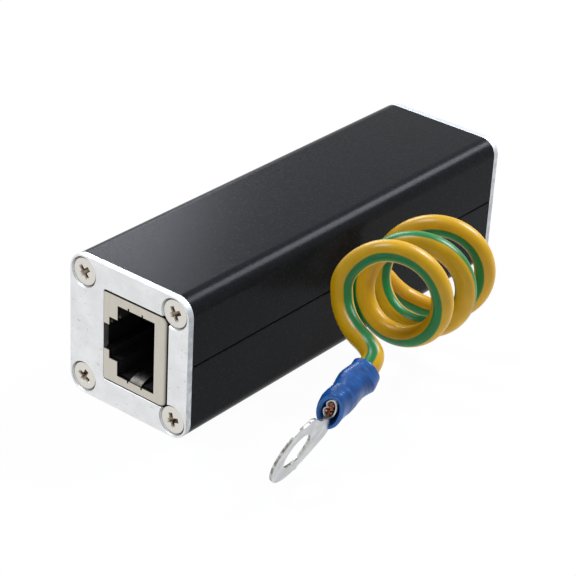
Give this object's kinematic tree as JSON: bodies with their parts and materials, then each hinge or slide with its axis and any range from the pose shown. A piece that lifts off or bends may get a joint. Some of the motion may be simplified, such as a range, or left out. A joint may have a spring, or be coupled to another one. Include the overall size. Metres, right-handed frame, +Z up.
{
  "type": "ethernet surge protector",
  "caption": "Inline network surge protector: a square aluminium case with a network jack at each end and a coiled green and yellow earth wire with a ring terminal.",
  "frame": {"origin": "centre of the case's underside", "axes": "+Y along the case from the front jack to the rear jack, +Z up, +X to the side that the earth wire leaves"},
  "size_m": [0.0491, 0.086, 0.0294],
  "materials": {
    "case": "black anodised, satin",
    "plate": "bare, lightly scratched",
    "shield": "nickel plated, satin",
    "screw": "nickel plated",
    "housing": "moulded",
    "contact": "gold plated",
    "board": "solder mask",
    "grommet": "matt",
    "wire": "yellow with a green stripe",
    "solder": "tinned",
    "terminal": "tin plated",
    "sleeve": "blue, satin",
    "copper": "bare copper",
    "tube": "unglazed",
    "diode": "moulded"
  },
  "bodies": {
    "root": {"upper_shell": "case", "lower_shell": "case", "front_plate": "plate", "rear_plate": "plate", "front_jack_shield": "shield", "rear_jack_shield": "shield", "front_jack_housing": "housing", "rear_jack_housing": "housing", "circuit_board": "board", "wire_grommet": "grommet", "earth_wire_inner": "wire", "earth_wire_lead": "wire", "earth_wire_coil": "wire", "earth_wire_tail": "wire", "earth_conductor": "solder", "ring_terminal": "terminal", "terminal_sleeve": "sleeve", "strand_end": "copper", "end_screw_1": "screw", "end_screw_2": "screw", "end_screw_3": "screw", "end_screw_4": "screw", "end_screw_5": "screw", "end_screw_6": "screw", "end_screw_7": "screw", "end_screw_8": "screw", "front_contact_1": "contact", "front_contact_2": "contact", "front_contact_3": "contact", "front_contact_4": "contact", "front_contact_5": "contact", "front_contact_6": "contact", "front_contact_7": "contact", "front_contact_8": "contact", "rear_contact_1": "contact", "rear_contact_2": "contact", "rear_contact_3": "contact", "rear_contact_4": "contact", "rear_contact_5": "contact", "rear_contact_6": "contact", "rear_contact_7": "contact", "rear_contact_8": "contact", "discharge_tube_1": "tube", "discharge_tube_2": "tube", "discharge_tube_3": "tube", "discharge_tube_4": "tube", "diode_1": "diode", "diode_2": "diode", "diode_3": "diode", "diode_4": "diode"}
  },
  "joints": []
}
